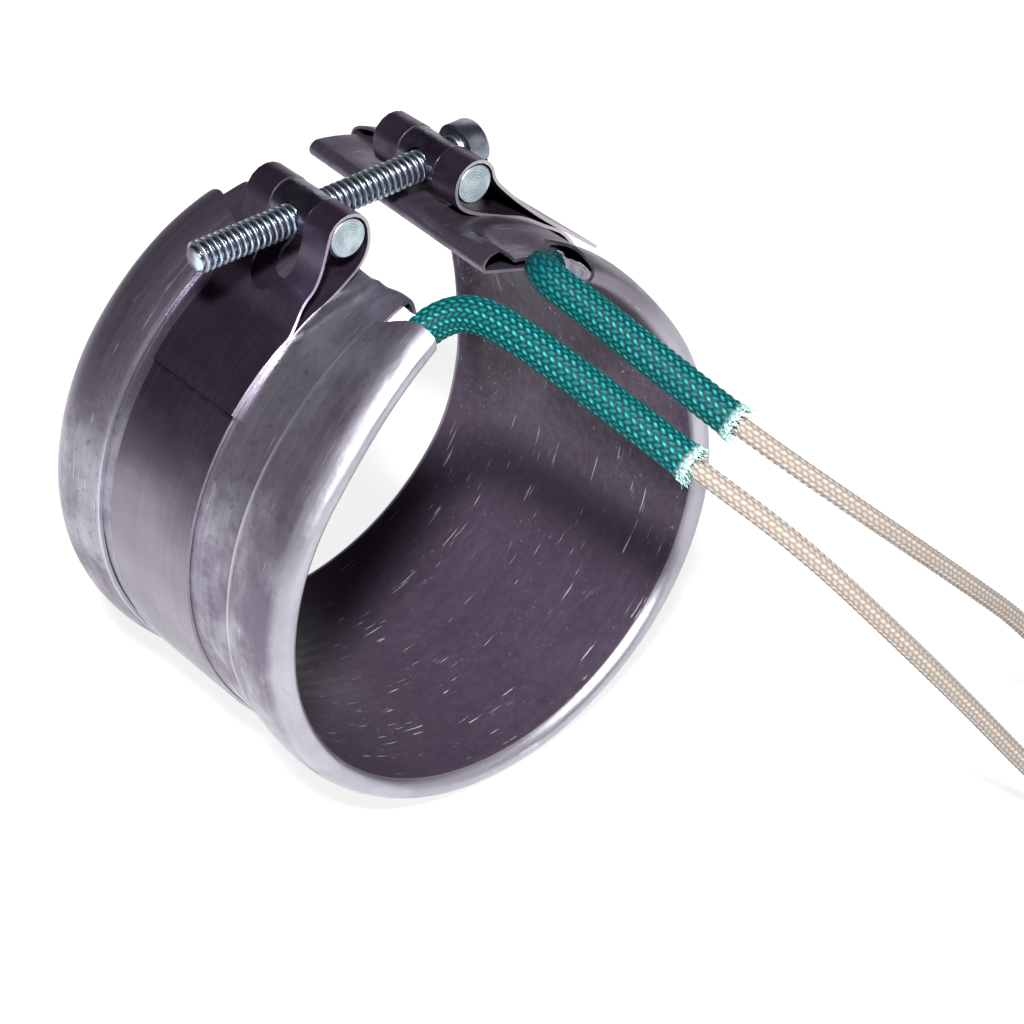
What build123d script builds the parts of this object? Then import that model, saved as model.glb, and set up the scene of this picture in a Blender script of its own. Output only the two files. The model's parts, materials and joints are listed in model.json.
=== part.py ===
from build123d import *
import math
import os

os.makedirs("parts", exist_ok=True)

# Frame: X runs along the clamp screw, Y along the bore, Z up through the gap in the band.
# The origin is on the bore's axis, midway along the band.

# Sizes of the band, in millimetres
bore_diameter = 76.2
band_width = 57.15
sheath_thickness = 0.5
rim_height = 4.1
flange_front_share = 0.2345
flange_rear_share = 0.21
cover_thickness = 0.5
cover_front_inset = 4.075
cover_rear_inset = 2.575
hem_front_inset = 11.575
layer_gap = 0.05
mica_thickness = 0.4
core_thickness = 0.3
ribbon_thickness = 0.1
mica_inset = 4.575

# Angles along the band, in degrees from the top and turning towards +X
left_sheath_end = -17.0
right_sheath_end = 20.0
flange_end_skew = 3.5
left_fold = -13.0
right_fold = 5.8
fold_end_gap = 0.4
mica_notch_inset = 12.075
cover_notch_left = -33.0
cover_notch_right = 36.0

# The right end of the band has sprung open: it bends less over this stretch
spring_from = 70.0
spring_to = 100.0
spring_relief = 4.4

# Sizes of the clamp
strap_thickness = 0.5
strap_width = 19.05
strap_centre = 3.92
slot_width = 8.5
slot_reach = 9.4
slot_step = 3.4
barrel_diameter = 6.35
barrel_length = 18.9
barrel_chamfer = 0.35
barrel_clearance = 0.1
barrel_rise = 6.7
left_barrel_x = -9.9
right_barrel_x = 13.1
slack_radius = 4.3
slack_across = 0.7
slack_down = 2.1
left_lift_radius = 4.0
left_lift_margin = 0.7
right_lift_radius = 10.0
right_lift_margin = 5.7
left_tail_end = -49.0
right_tail_end = 51.0
screw_diameter = 4.83
screw_length = 46.0
screw_chamfer = 0.7
thread_clearance = 0.1
head_hole_diameter = 5.4
head_clearance = 0.15
head_diameter = 7.9
head_side_height = 3.0
head_height = 4.5
head_crown_rise = 1.2
head_slot_width = 1.2
head_slot_depth = 1.9

# Sizes of the resistance ribbon and its terminals
ribbon_width = 2.2
ribbon_turns = 26
ribbon_first = 52.0
ribbon_last = 312.0
lead_inset = 8.075
terminal_thickness = 0.35
terminal_width = 3.6
terminal_length = 14.0
crimp_diameter = 2.2
crimp_offset = 1.65
crimp_span = 13.3
rivet_diameter = 1.2
rivet_head_diameter = 2.2
rivet_head_height = 0.4
pad_span = 6.3
pad_length = 10.7
pad_front_inset = 9.875

# Sizes of the leads and their sleeves
wire_diameter = 3.0
sleeve_diameter = 5.3
sleeve_bore = 3.2
left_sleeve_start = 4.6
right_sleeve_start = 1.0
left_sleeve_end = 48.5
right_sleeve_end = 42.5
lead_length = 305.0
left_lead_in = 3.8
right_lead_in = 3.2
coil_outer_turn = 16.5
coil_inner_turn = 13.5
coil_stub = 10.8
end_stub = 5.0
end_turn_in = 40.0
strand_diameter = 1.2
strand_length = 7.0
coil_trim = 0.05
bend_share = 0.45

bore_radius = bore_diameter / 2
half_width = band_width / 2
flange_front_reach = band_width * flange_front_share
flange_rear_reach = band_width * flange_rear_share
cover_front_edge = cover_front_inset - half_width
cover_rear_edge = half_width - cover_rear_inset
hem_front_edge = hem_front_inset - half_width
mica_half_width = half_width - mica_inset
mica_notch_edge = mica_notch_inset - half_width
lead_line = lead_inset - half_width
pad_front_edge = pad_front_inset - half_width
floor_height = -(bore_radius + rim_height)
mica_inner_face = sheath_thickness + layer_gap
ribbon_inner_face = mica_inner_face + mica_thickness + layer_gap
core_inner_face = ribbon_inner_face + ribbon_thickness + layer_gap
core_outer_face = core_inner_face + core_thickness
ribbon_outer_face = core_outer_face + layer_gap + ribbon_thickness
mica_outer_face = ribbon_outer_face + layer_gap
cover_inner_face = mica_outer_face + mica_thickness + layer_gap
cover_outer_face = cover_inner_face + cover_thickness
strap_middle = cover_outer_face + layer_gap + strap_thickness / 2
tail_middle = strap_middle + strap_thickness + layer_gap
barrel_height = bore_radius + strap_middle + barrel_rise

full_turn = 360.0
smallest_step = 0.001
spring_radius = bore_radius * (spring_to - spring_from) / (spring_to - spring_from - spring_relief)


def direction(angle):
    """Unit step in X and Z at an angle from the top, turning towards +X."""
    turn = math.radians(angle)
    return math.sin(turn), math.cos(turn)


def shifted(centre, angle, distance):
    """The place at a distance from a centre in X and Z, along an angle."""
    across, up = direction(angle)
    return centre[0] + distance * across, centre[1] + distance * up


# Centres of the three arcs that make up the band
base_centre = (0.0, 0.0)
spring_centre = shifted(base_centre, spring_to, bore_radius - spring_radius)
spring_end_angle = spring_from + spring_relief
end_centre = shifted(spring_centre, spring_end_angle, spring_radius - bore_radius)


def arc_of(angle):
    """Centre, bore radius and true direction at an angle along the band."""
    along = angle % full_turn
    if spring_from < along < spring_to:
        share = (spring_to - along) / (spring_to - spring_from)
        true_angle = spring_to - share * (spring_to - spring_end_angle)
        return spring_centre, spring_radius, true_angle
    if 0 <= along <= spring_from:
        return end_centre, bore_radius, along + spring_relief
    return base_centre, bore_radius, along


def band_point(angle, offset, y):
    """A point at an angle along the band, offset outwards from its bore."""
    centre, radius, true_angle = arc_of(angle)
    x, z = shifted(centre, true_angle, radius + offset)
    return Vector(x, y, z)


def band_stops(start, end):
    """The angles where a stretch of band starts, changes its arc and ends."""
    changes = [angle for angle in (spring_from, spring_to) if start < angle < end]
    return [start] + changes + [end]


def band_curve(start, end, offset, y):
    """Arcs along the band between two angles."""
    stops = band_stops(start, end)
    arcs = []
    for first, last in zip(stops[:-1], stops[1:]):
        middle = (first + last) / 2
        ends = band_point(first, offset, y), band_point(last, offset, y)
        arcs.append(ThreePointArc(ends[0], band_point(middle, offset, y), ends[1]))
    return arcs


def prism(edges, length):
    """The solid between a closed outline and its copy further along Y."""
    return extrude(Face(Wire(edges)), amount=length, dir=(0, 1, 0))


def band_plate(inner, outer, start, end, front, rear):
    """A curved plate that follows the band."""
    edges = band_curve(start, end, inner, front) + band_curve(start, end, outer, front)
    for angle in (start, end):
        edges.append(Line(band_point(angle, inner, front), band_point(angle, outer, front)))
    return prism(edges, rear - front)


def sheath_section(angle):
    """Section of the sheath: wall, rolled rims and flanges, at an angle along the band."""
    roll = rim_height / 2
    wall = sheath_thickness
    seat = cover_outer_face + layer_gap
    inner_crest = rim_height - wall
    straight = half_width - roll
    front_edge = flange_front_reach - half_width
    rear_edge = half_width - flange_rear_reach

    def at(offset, y):
        return band_point(angle, offset, y)

    edges = [
        Line(at(0, -straight), at(0, straight)),
        ThreePointArc(at(0, straight), at(roll, half_width), at(rim_height, straight)),
        Line(at(rim_height, straight), at(seat + wall, rear_edge)),
        Line(at(seat + wall, rear_edge), at(seat, rear_edge)),
        Line(at(seat, rear_edge), at(inner_crest, straight)),
        ThreePointArc(at(inner_crest, straight), at(roll, half_width - wall), at(wall, straight)),
        Line(at(wall, straight), at(wall, -straight)),
        ThreePointArc(at(wall, -straight), at(roll, wall - half_width), at(inner_crest, -straight)),
        Line(at(inner_crest, -straight), at(seat, front_edge)),
        Line(at(seat, front_edge), at(seat + wall, front_edge)),
        Line(at(seat + wall, front_edge), at(rim_height, -straight)),
        ThreePointArc(at(rim_height, -straight), at(roll, -half_width), at(0, -straight)),
    ]
    return Face(Wire(edges))


def flange_trim(end_angle, skew, side):
    """What the slanting cut takes off a flange at one end of the band and one side of it."""
    edge_y = side * (half_width - flange_front_reach - flange_rear_reach)
    protected = sheath_thickness + layer_gap
    above = rim_height + sheath_thickness
    rim_y = side * (half_width + sheath_thickness)
    past = end_angle - math.copysign(flange_end_skew, skew)
    rim_point = band_point(end_angle, above, 0)
    edge_point = band_point(end_angle + skew, above, 0)
    past_point = band_point(past, above, 0)
    outline = Polyline(
        (rim_point.X, rim_y, 0),
        (edge_point.X, edge_y, 0),
        (past_point.X, edge_y, 0),
        (past_point.X, rim_y, 0),
        close=True,
    )
    column = extrude(Face(Wire(outline.edges())), amount=bore_radius * 2, dir=(0, 0, 1))
    centre, radius, _ = arc_of(end_angle)
    kept = Pos(centre[0], 0, centre[1]) * Rot(90, 0, 0) * Cylinder(radius + protected, band_width * 2)
    return column - kept


def make_sheath():
    """The sheath, rolled from one sheet round the three arcs of the band."""
    left_end = full_turn + left_sheath_end
    stops = band_stops(right_sheath_end, left_end)
    sheath = None
    for first, last in zip(stops[:-1], stops[1:]):
        centre = arc_of((first + last) / 2)[0]
        turned = arc_of(last)[2] - arc_of(first)[2]
        axis = Axis((centre[0], 0, centre[1]), (0, 1, 0))
        piece = revolve(sheath_section(first), axis, turned)
        sheath = piece if sheath is None else sheath + piece
    for side in (-1, 1):
        sheath -= flange_trim(left_sheath_end, -flange_end_skew, side)
        sheath -= flange_trim(right_sheath_end, flange_end_skew, side)
    return sheath


def front_notch(left_end, right_end, edge):
    """The room for the leads at the front of the gap, to cut out of a layer."""
    below = -sheath_thickness
    above = rim_height + sheath_thickness
    start = full_turn + left_end
    left_part = band_plate(below, above, start, full_turn - layer_gap, -band_width, edge)
    right_part = band_plate(below, above, 0, right_end, -band_width, edge)
    return left_part + right_part


def fold_arc(angle, inner, outer, outwards, y):
    """Half round from one face of a folded sheet to the other, at the gap."""
    middle = (inner + outer) / 2
    start = band_point(angle, outer, y)
    end = band_point(angle, inner, y)
    centre = band_point(angle, middle, y)
    reach = (outer - inner) / 2
    across, up = direction(arc_of(angle)[2])
    tip = centre + Vector(up, 0, -across) * (outwards * reach)
    return ThreePointArc(start, tip, end)


def make_cover():
    """The cover strip, with its ends folded under at the gap."""
    left = full_turn + left_fold
    left_leg = full_turn + left_sheath_end + fold_end_gap
    right_leg = right_sheath_end - fold_end_gap
    bottom = sheath_thickness
    front = cover_front_edge
    edges = band_curve(right_fold, left, cover_outer_face, front)
    edges += band_curve(right_fold, left, cover_inner_face, front)
    for fold, leg, outwards in ((right_fold, right_leg, -1), (left, left_leg, 1)):
        edges.append(fold_arc(fold, 0, cover_outer_face, outwards, front))
        edges.append(fold_arc(fold, bottom, cover_inner_face, outwards, front))
        start, end = min(fold, leg), max(fold, leg)
        edges += band_curve(start, end, 0, front) + band_curve(start, end, bottom, front)
        edges.append(Line(band_point(leg, 0, front), band_point(leg, bottom, front)))
    cover = prism(edges, cover_rear_edge - cover_front_edge)
    return cover - front_notch(cover_notch_left, cover_notch_right, hem_front_edge)


def mica_sheet(inner, outer):
    """One mica layer, notched at the front of the gap for the terminals."""
    right = pad_ends(1)[1] + fold_end_gap
    left = pad_ends(-1)[0] - fold_end_gap
    sheet = band_plate(inner, outer, right, left, -mica_half_width, mica_half_width)
    notch_left = terminal_ends(-1)[0] - fold_end_gap - full_turn
    notch_right = terminal_ends(1)[1] + fold_end_gap
    return sheet - front_notch(notch_left, notch_right, mica_notch_edge)


def make_ribbon():
    """The resistance ribbon, wound round the core from one terminal to the other."""
    pitch = (ribbon_last - ribbon_first) / ribbon_turns
    width = math.degrees(ribbon_width / bore_radius)
    inner_leg = (ribbon_inner_face, ribbon_inner_face + ribbon_thickness)
    outer_leg = (ribbon_outer_face - ribbon_thickness, ribbon_outer_face)
    wrap = (inner_leg[0], outer_leg[1])
    edge = mica_half_width + layer_gap
    reach = edge + ribbon_thickness
    pieces = []
    for turn in range(ribbon_turns):
        start = ribbon_first + turn * pitch
        half = start + pitch / 2
        following = start + pitch
        pieces.append(band_plate(*inner_leg, start, start + width, -reach, reach))
        pieces.append(band_plate(*wrap, start, half + width, edge, reach))
        pieces.append(band_plate(*outer_leg, half, half + width, -reach, reach))
        pieces.append(band_plate(*wrap, half, following + width, -reach, -edge))
    pieces.append(band_plate(*inner_leg, ribbon_last, ribbon_last + width, -reach, reach))
    tab_front = lead_line - ribbon_width / 2
    tab_rear = lead_line + ribbon_width / 2
    tab_reach = math.degrees(terminal_width / bore_radius)
    first_tab = (ribbon_first - tab_reach, ribbon_first + width)
    last_tab = (ribbon_last, ribbon_last + width + tab_reach)
    for start, end in (first_tab, last_tab):
        pieces.append(band_plate(*inner_leg, start, end, tab_front, tab_rear))
    ribbon = pieces[0].fuse(*pieces[1:])
    for side in (-1, 1):
        ribbon -= rivet_hole(side)
    return ribbon


def rivet_angle(side):
    """Where the rivet of the left (-1) or right (1) terminal stands along the band."""
    tab_middle = math.degrees(terminal_width / bore_radius) / 2
    if side > 0:
        return ribbon_first - tab_middle
    width = math.degrees(ribbon_width / bore_radius)
    return ribbon_last + width + tab_middle


def radial_rod(angle, y, start, end, diameter):
    """A round rod that stands out from the band, between two offsets."""
    base = band_point(angle, start, y)
    top = band_point(angle, end, y)
    plane = Plane(origin=base, z_dir=top - base)
    return extrude(plane * Circle(diameter / 2), amount=end - start)


def rivet_hole(side):
    """The hole that a rivet needs in its terminal and in the ribbon's tab."""
    return radial_rod(rivet_angle(side), lead_line, 0, rim_height, rivet_diameter + 2 * layer_gap)


def terminal_ends(side):
    """Where a terminal's tongue starts and ends along the band."""
    outer_end = rivet_angle(side) + side * math.degrees(terminal_width / 2 / bore_radius)
    inner_end = outer_end - side * math.degrees(terminal_length / bore_radius)
    return min(inner_end, outer_end), max(inner_end, outer_end)


def crimp_ends(side):
    """The two ends of the crimp barrel's axis, the cord's end last."""
    mouth = full_turn + left_sheath_end + fold_end_gap if side < 0 else right_sheath_end - fold_end_gap
    middle = mouth + side * crimp_span / 2
    centre, _, true_angle = arc_of(middle)
    across, up = direction(true_angle)
    along = Vector(up, 0, -across) * -side
    half = bore_radius * math.radians(crimp_span) / 2
    place = band_point(middle, crimp_offset, lead_line)
    return place - along * half, place + along * half


def make_terminal(side):
    """A terminal: a flat tongue on the ribbon's tab and a crimp barrel on the lead."""
    start, end = terminal_ends(side)
    bottom = core_inner_face
    front = lead_line - terminal_width / 2
    rear = lead_line + terminal_width / 2
    tongue = band_plate(bottom, bottom + terminal_thickness, start, end, front, rear)
    tongue -= rivet_hole(side)
    inside, mouth = crimp_ends(side)
    plane = Plane(origin=inside, z_dir=mouth - inside)
    barrel = extrude(plane * Circle(crimp_diameter / 2), amount=(mouth - inside).length)
    return tongue + barrel


def make_rivet(side):
    """A rivet with two flat heads, through a terminal and its ribbon tab."""
    angle = rivet_angle(side)
    bottom = ribbon_inner_face - layer_gap
    top = core_inner_face + terminal_thickness + layer_gap
    shank = radial_rod(angle, lead_line, bottom - rivet_head_height, top + rivet_head_height, rivet_diameter)
    lower = radial_rod(angle, lead_line, bottom - rivet_head_height, bottom, rivet_head_diameter)
    upper = radial_rod(angle, lead_line, top, top + rivet_head_height, rivet_head_diameter)
    return shank + lower + upper


def pad_ends(side):
    """Where an insulating pad starts and ends along the band."""
    if side < 0:
        start = full_turn + left_sheath_end - pad_span + 2 * fold_end_gap
    else:
        start = right_sheath_end - 2 * fold_end_gap
    return start, start + pad_span


def make_pad(side):
    """The insulating pad in the fold beside a lead."""
    start, end = pad_ends(side)
    outer = cover_inner_face - layer_gap
    rear = pad_front_edge + pad_length
    return band_plate(mica_inner_face, outer, start, end, pad_front_edge, rear)


def belt(circles, first_angle, last_angle, y):
    """Edges of a belt that runs round circles, each a centre, radius and turn (1 is from X to Z)."""
    places = []
    for (c1, r1, turn1), (c2, r2, turn2) in zip(circles[:-1], circles[1:]):
        gap_x, gap_z = c2[0] - c1[0], c2[1] - c1[1]
        change = turn2 * r2 - turn1 * r1
        length = math.sqrt(max(gap_x ** 2 + gap_z ** 2 - change ** 2, 0))
        heading = math.atan2(gap_z, gap_x) - math.atan2(change, length)
        left = (-math.sin(heading), math.cos(heading))
        leave = (c1[0] - turn1 * r1 * left[0], c1[1] - turn1 * r1 * left[1])
        reach = (c2[0] - turn2 * r2 * left[0], c2[1] - turn2 * r2 * left[1])
        places.append((leave, reach))
    starts = [shifted(circles[0][0], first_angle, circles[0][1])] + [reach for _, reach in places]
    ends = [leave for leave, _ in places] + [shifted(circles[-1][0], last_angle, circles[-1][1])]
    edges = []
    previous = starts[0]
    for (centre, radius, turn), start, end in zip(circles, starts, ends):
        if math.dist(previous, start) > smallest_step:
            edges.append(Line((previous[0], y, previous[1]), (start[0], y, start[1])))
        else:
            start = previous
        a1 = math.atan2(start[1] - centre[1], start[0] - centre[0])
        a2 = math.atan2(end[1] - centre[1], end[0] - centre[0])
        swept = ((a2 - a1) * turn) % math.tau
        middle = a1 + turn * swept / 2
        via = (centre[0] + radius * math.cos(middle), y, centre[1] + radius * math.sin(middle))
        edges.append(ThreePointArc((start[0], y, start[1]), via, (end[0], y, end[1])))
        previous = end
    return edges


def leaving_angle(centre, loop_centre, loop_radius, side):
    """Where the strap's lower layer comes off the band, on its way to a loop."""
    across, up = loop_centre[0] - centre[0], loop_centre[1] - centre[1]
    reach = math.acos((bore_radius + strap_middle + loop_radius) / math.hypot(across, up))
    return math.degrees(math.atan2(across, up) + side * reach)


def strap_circles(grow):
    """The circles that the strap follows, for its face that is grown outwards or inwards."""
    loop = barrel_diameter / 2 + barrel_clearance + strap_thickness / 2
    left_barrel = (left_barrel_x, barrel_height)
    right_barrel = (right_barrel_x, barrel_height)
    slack = (left_barrel_x - slack_across, barrel_height - slack_down)
    tail = bore_radius + tail_middle
    main = bore_radius + strap_middle
    left_leaves = leaving_angle(base_centre, slack, slack_radius, -1)
    right_leaves = leaving_angle(end_centre, right_barrel, loop, 1)
    left_lift = shifted(base_centre, left_leaves + left_lift_margin, tail + left_lift_radius)
    right_lift = shifted(end_centre, right_leaves + right_lift_margin, tail + right_lift_radius)
    return [
        (base_centre, tail + grow, -1),
        (left_lift, left_lift_radius - grow, 1),
        (left_barrel, loop + grow, -1),
        (slack, slack_radius + grow, -1),
        (base_centre, main - grow, 1),
        (spring_centre, spring_radius + strap_middle - grow, 1),
        (end_centre, main - grow, 1),
        (right_barrel, loop + grow, -1),
        (right_lift, right_lift_radius - grow, 1),
        (end_centre, tail + grow, -1),
    ]


def slot_tool(barrel_x, side, reach):
    """An upright slot with a round end, from the strap's fold outwards."""
    far = barrel_x + side * reach
    near = barrel_x - side * 2 * barrel_diameter
    radius = slot_width / 2
    middle = (far - side * radius + near) / 2
    length = abs(far - near) - radius
    block = Pos(middle, strap_centre, barrel_height) * Box(length, slot_width, bore_diameter / 2)
    tip = Pos(far - side * radius, strap_centre, barrel_height) * Cylinder(radius, bore_diameter / 2)
    return block + tip


def make_strap():
    """The clamp strap: one band folded back on itself round both barrels."""
    front = strap_centre - strap_width / 2
    half = strap_thickness / 2
    outer = belt(strap_circles(half), left_tail_end, right_tail_end, front)
    inner = belt(strap_circles(-half), left_tail_end, right_tail_end, front)
    tail_ends = [Line(outer[0] @ 0, inner[0] @ 0), Line(outer[-1] @ 1, inner[-1] @ 1)]
    strap = prism(outer + inner + tail_ends, strap_width)
    layer_edge = bore_radius + strap_middle + strap_thickness / 2 + layer_gap / 2
    for barrel_x, centre, side in ((left_barrel_x, base_centre, -1), (right_barrel_x, end_centre, 1)):
        under = Pos(centre[0], 0, centre[1]) * Rot(90, 0, 0) * Cylinder(layer_edge, band_width * 2)
        strap -= slot_tool(barrel_x, side, slot_reach) - under
        strap -= slot_tool(barrel_x, side, slot_reach - slot_step)
    return strap


def make_barrel(x, hole_diameter):
    """A cross pin with a hole through its middle for the screw."""
    place = Pos(x, strap_centre, barrel_height)
    barrel = Rot(90, 0, 0) * Cylinder(barrel_diameter / 2, barrel_length)
    barrel = chamfer(barrel.edges().filter_by(GeomType.CIRCLE), barrel_chamfer)
    barrel -= Rot(0, 90, 0) * Cylinder(hole_diameter / 2, barrel_diameter * 2)
    return place * barrel


def make_screw():
    """The clamp screw, with a slotted head that is round on top."""
    seat = right_barrel_x + barrel_diameter / 2 + head_clearance
    end = seat - screw_length
    shank = screw_diameter / 2
    head = head_diameter / 2
    side_end = seat + head_side_height
    top = seat + head_height
    crown = (side_end + head_crown_rise, head / 2)
    with BuildPart() as screw:
        with BuildSketch(Plane.XY):
            with BuildLine():
                Polyline((end, 0), (end, shank - screw_chamfer), (end + screw_chamfer, shank), (seat, shank))
                Polyline((seat, shank), (seat, head), (side_end, head))
                ThreePointArc((side_end, head), crown, (top, 0))
                Line((top, 0), (end, 0))
            make_face()
        revolve(axis=Axis.X)
    slot = Pos(top, 0, 0) * Box(2 * head_slot_depth, head_slot_width, head_diameter * 2)
    return Pos(0, strap_centre, barrel_height) * (screw.part - slot)


# The corners of each lead's route, from beside its crimp to the floor
left_route = [
    (-4.7, -22.6, 41.6),
    (-2.7, -26.8, 42.3),
    (-1.0, -35.5, 40.7),
    (1.9, -47.0, 36.6),
    (5.6, -61.5, 31.0),
    (12.5, -74.5, 22.5),
    (24.0, -83.5, 6.0),
    (36.0, -88.0, -10.5),
    (47.0, -91.3, -26.0),
    (56.0, -93.3, -37.0),
]
right_route = [
    (10.6, -22.8, 42.4),
    (10.7, -27.2, 41.4),
    (12.0, -33.0, 39.6),
    (14.0, -43.0, 36.0),
    (18.0, -57.5, 29.8),
    (27.3, -71.0, 19.6),
    (43.5, -76.5, 3.0),
    (59.5, -77.5, -13.5),
    (67.2, -79.0, -25.5),
    (73.8, -80.6, -36.2),
]
left_floor = [(63.0, -94.8), (70.3, -96.6)]
right_floor = [(80.8, -82.3), (88.6, -84.0)]


def lead_points(side):
    """The whole route of a lead's tube, laid on the floor at its end."""
    route, floor = (left_route, left_floor) if side < 0 else (right_route, right_floor)
    lead_in = left_lead_in if side < 0 else right_lead_in
    height = floor_height + wire_diameter / 2
    inside, start = crimp_ends(side)
    first = start + (start - inside).normalized() * lead_in
    return [start, first] + [Vector(*point) for point in route] + [Vector(x, y, height) for x, y in floor]


def rounded_path(points):
    """Straight runs joined by arcs as large as the runs allow, and the radii of those arcs."""
    radii = []
    for before, corner, after in zip(points[:-2], points[1:-1], points[2:]):
        run_in, run_out = corner - before, after - corner
        half_turn = math.radians(run_in.get_angle(run_out)) / 2
        shorter = min(run_in.length, run_out.length)
        radii.append(bend_share * shorter / math.tan(half_turn))
    return FilletPolyline(*points, radius=radii), radii


def round_tube(path, diameter):
    """A round bar along a path."""
    plane = Plane(origin=path @ 0, z_dir=path % 0)
    return sweep(plane * Circle(diameter / 2), path=path)


def make_lead(side):
    """The tube of a lead, from its crimp to the coil."""
    path, radii = rounded_path(lead_points(side))
    tube = round_tube(path, wire_diameter)
    section = math.pi * wire_diameter ** 2 / 4
    print("lead", side, "length", round(path.length, 1), "volume over section", round(tube.volume / section, 1))
    print("radii", [round(radius, 1) for radius in radii])
    return tube, path.length


def make_sleeve(side):
    """The sleeve on a lead, from beside the crimp to its open end."""
    whole, _ = rounded_path(lead_points(side))
    start = left_sleeve_start if side < 0 else right_sleeve_start
    end = left_sleeve_end if side < 0 else right_sleeve_end
    path = whole.trim(start / whole.length, end / whole.length)
    return round_tube(path, sleeve_diameter) - round_tube(path, sleeve_bore)


def coil_frame(side):
    """The coil's centre, the lead's heading and the side that the coil lies on."""
    before, end = lead_points(side)[-2:]
    heading = (end - before).normalized()
    inwards = Vector(-heading.Y, heading.X, 0) * side
    centre = end + heading * coil_stub + inwards * coil_outer_turn
    return centre, heading, inwards, end


def rod(start, end, diameter):
    """A straight round rod between two points."""
    plane = Plane(origin=start, z_dir=end - start)
    return extrude(plane * Circle(diameter / 2), amount=(end - start).length)


def wound_angle(tube_length):
    """How far the coil turns, in degrees, to hold the rest of a lead."""
    rest = lead_length - tube_length - coil_stub - end_stub
    return math.degrees(rest / ((coil_outer_turn + coil_inner_turn) / 2))


def coil_end(side, tube_length):
    """Where the inner turn of a coil leaves it, and the heading there."""
    centre, heading, inwards, _ = coil_frame(side)
    turned = wound_angle(tube_length)
    outwards = (inwards * -1).rotate(Axis.Z, side * turned)
    place = centre + outwards * coil_inner_turn
    leaving = heading.rotate(Axis.Z, side * (turned + end_turn_in))
    return place, leaving


def make_coil(side, tube_length):
    """The outer shape of the coil of spare lead, with the stubs at its two ends."""
    centre, heading, _, end = coil_frame(side)
    outer = coil_outer_turn + wire_diameter / 2 + coil_trim
    inner = coil_inner_turn - wire_diameter / 2 - coil_trim
    height = wire_diameter - 2 * coil_trim
    ring = Cylinder(outer, height) - Cylinder(inner, height)
    place, leaving = coil_end(side, tube_length)
    coil = Pos(centre) * ring
    coil += rod(end, end + heading * coil_stub, wire_diameter)
    coil += rod(place, place + leaving * end_stub, wire_diameter)
    return coil


def make_strand(side, tube_length):
    """The stripped end of a lead."""
    place, leaving = coil_end(side, tube_length)
    start = place + leaving * end_stub
    return rod(start, start + leaving * strand_length, strand_diameter)


parts = {
    "sheath": make_sheath(),
    "cover_strip": make_cover(),
    "mica_inner": mica_sheet(mica_inner_face, mica_inner_face + mica_thickness),
    "mica_core": mica_sheet(core_inner_face, core_outer_face),
    "mica_outer": mica_sheet(mica_outer_face, mica_outer_face + mica_thickness),
    "resistance_ribbon": make_ribbon(),
    "clamp_strap": make_strap(),
    "thread_barrel": make_barrel(left_barrel_x, screw_diameter + 2 * thread_clearance),
    "head_barrel": make_barrel(right_barrel_x, head_hole_diameter),
    "clamp_screw": make_screw(),
}
for name, side in (("left", -1), ("right", 1)):
    tube, tube_length = make_lead(side)
    parts["terminal_" + name] = make_terminal(side)
    parts["rivet_" + name] = make_rivet(side)
    parts["exit_pad_" + name] = make_pad(side)
    parts["sleeve_" + name] = make_sleeve(side)
    parts["lead_" + name] = tube
    parts["coil_" + name] = make_coil(side, tube_length)
    parts["strand_" + name] = make_strand(side, tube_length)

for name, shape in parts.items():
    export_step(shape, "parts/" + name + ".step")
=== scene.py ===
import bisect
import bpy
import json
import math
import random
from mathutils import Matrix, Vector, noise


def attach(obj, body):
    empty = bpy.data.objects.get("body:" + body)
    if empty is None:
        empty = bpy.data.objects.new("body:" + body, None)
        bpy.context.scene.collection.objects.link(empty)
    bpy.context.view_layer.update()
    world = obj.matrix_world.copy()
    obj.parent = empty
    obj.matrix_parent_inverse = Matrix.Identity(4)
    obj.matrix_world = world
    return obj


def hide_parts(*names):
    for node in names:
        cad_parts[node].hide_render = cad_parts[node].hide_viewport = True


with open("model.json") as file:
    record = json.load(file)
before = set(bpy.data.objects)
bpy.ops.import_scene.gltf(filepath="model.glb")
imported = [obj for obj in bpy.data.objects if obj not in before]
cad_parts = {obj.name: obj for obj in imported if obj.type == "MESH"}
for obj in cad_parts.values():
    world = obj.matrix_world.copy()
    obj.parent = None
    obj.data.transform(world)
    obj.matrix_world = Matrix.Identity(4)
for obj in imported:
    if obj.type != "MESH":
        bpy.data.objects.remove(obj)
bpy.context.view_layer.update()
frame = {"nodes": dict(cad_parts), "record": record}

# Lengths are in metres and angles in degrees. X runs along the clamp screw, Y along the bore, Z up.
mm = 0.001
full_turn = 360.0

# The camera, as the photograph was taken
camera_azimuth = -40.462
camera_elevation = 36.651
camera_place = Vector((-0.21879, -0.28554, 0.25955))
camera_lens = 102.48

# Sizes of the band, the same as those of the solids
bore_radius = 38.1 * mm
half_width = 28.575 * mm
wall = 0.5 * mm
rim_height = 4.1 * mm
roll_length = 6.0 * mm
flange_front_edge = -15.175 * mm
flange_rear_edge = 16.575 * mm
cover_rear_edge = 26.0 * mm
hem_front_edge = -17.0 * mm
cover_inner_face = 2.1 * mm
cover_outer_face = 2.6 * mm
pad_inner_face = 0.55 * mm
seat_gap = 0.05 * mm
floor_height = -42.2 * mm
floor_gap = 0.05 * mm
left_sheath_end = -17.0
right_sheath_end = 20.0
spring_from = 70.0
spring_to = 100.0
spring_relief = 4.4
strap_centre = 3.92 * mm
strap_width = 19.05 * mm
strap_middle = 2.9 * mm
tail_middle = 3.45 * mm
tail_end_line = 33.0 * mm
slot_radius = 4.25 * mm
outer_slot_reach = 9.4 * mm
inner_slot_reach = 5.0 * mm
left_slot_edge = 42.6 * mm
right_slot_edge = 42.9 * mm
loop_clearance = 0.35 * mm

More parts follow.
